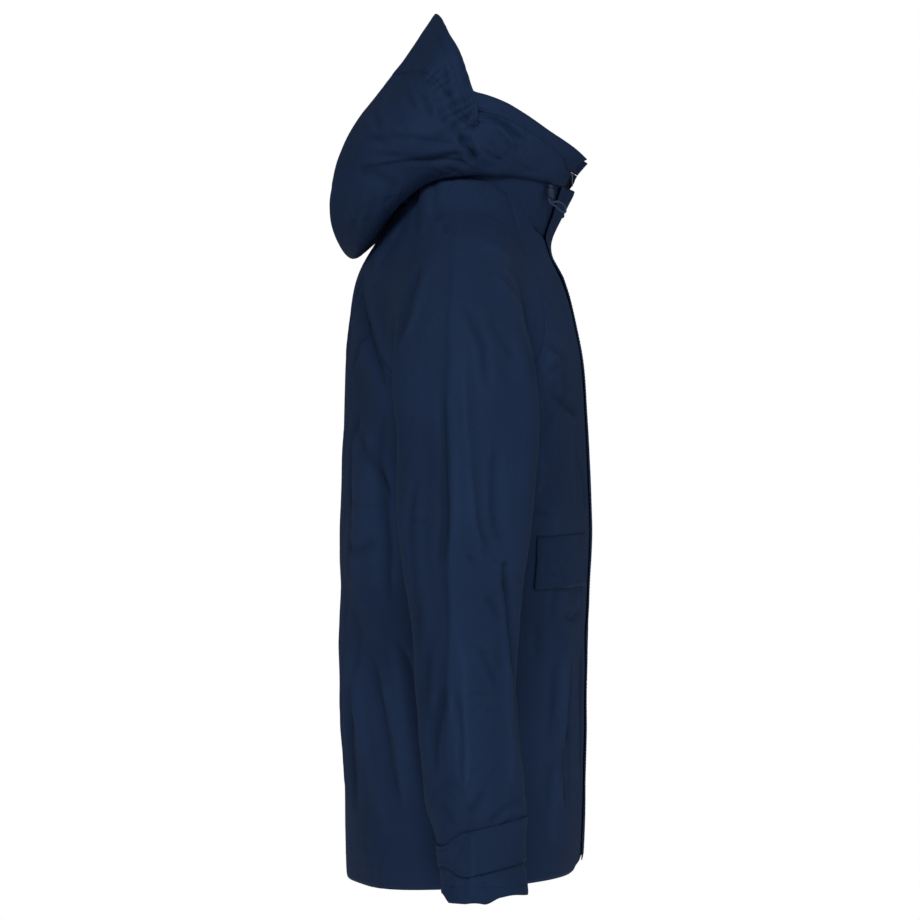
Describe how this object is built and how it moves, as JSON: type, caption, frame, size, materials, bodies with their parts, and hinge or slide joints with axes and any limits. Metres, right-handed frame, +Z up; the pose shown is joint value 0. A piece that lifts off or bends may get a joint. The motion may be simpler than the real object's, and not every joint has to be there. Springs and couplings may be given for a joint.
{
  "type": "hooded waterproof jacket",
  "caption": "Hip-length hooded shell jacket with a zipped front under a storm flap, raglan sleeves, cuff straps, flap pockets and a hood with a drawcord, filled out as worn.",
  "frame": {"origin": "middle of the neck opening, where the wearer's neck and shoulders carry the jacket", "axes": "+Z up along the body, -Y to the front, +X to the wearer's left"},
  "size_m": [0.7027, 0.2913, 0.9457],
  "materials": {
    "shell_cloth": "smooth woven cloth, low sheen",
    "zip_tape": "woven tape, matt",
    "zip_plastic": "moulded, satin",
    "pull_metal": "satin",
    "lock_plastic": "moulded, satin",
    "cord_cloth": "braided, matt"
  },
  "bodies": {
    "jacket": {"front_right": "shell_cloth", "front_left": "shell_cloth", "back": "shell_cloth", "collar": "shell_cloth", "sleeve_right": "shell_cloth", "sleeve_left": "shell_cloth", "cuff_strap_right": "shell_cloth", "cuff_strap_left": "shell_cloth", "pocket_flap_right": "shell_cloth", "pocket_flap_left": "shell_cloth", "hood_side_right": "shell_cloth", "hood_side_left": "shell_cloth", "hood_casing_right": "shell_cloth", "hood_casing_left": "shell_cloth", "hood_centre": "shell_cloth", "hood_peak": "shell_cloth", "storm_flap": "shell_cloth", "zip_tape": "zip_tape", "zip_chain": "zip_plastic", "zip_slider": "zip_plastic", "cord_lock_right": "lock_plastic", "cord_lock_left": "lock_plastic", "drawcord_right": "cord_cloth", "drawcord_left": "cord_cloth"},
    "pull_tab": {"zip_pull": "pull_metal"}
  },
  "joints": [
    {"name": "pull_tab_hinge", "type": "hinge", "parent": "jacket", "child": "pull_tab", "pos_m": [0, -0.118, 0.04543], "axis": [-1, 0, 0], "range_deg": [-10, 150]}
  ]
}
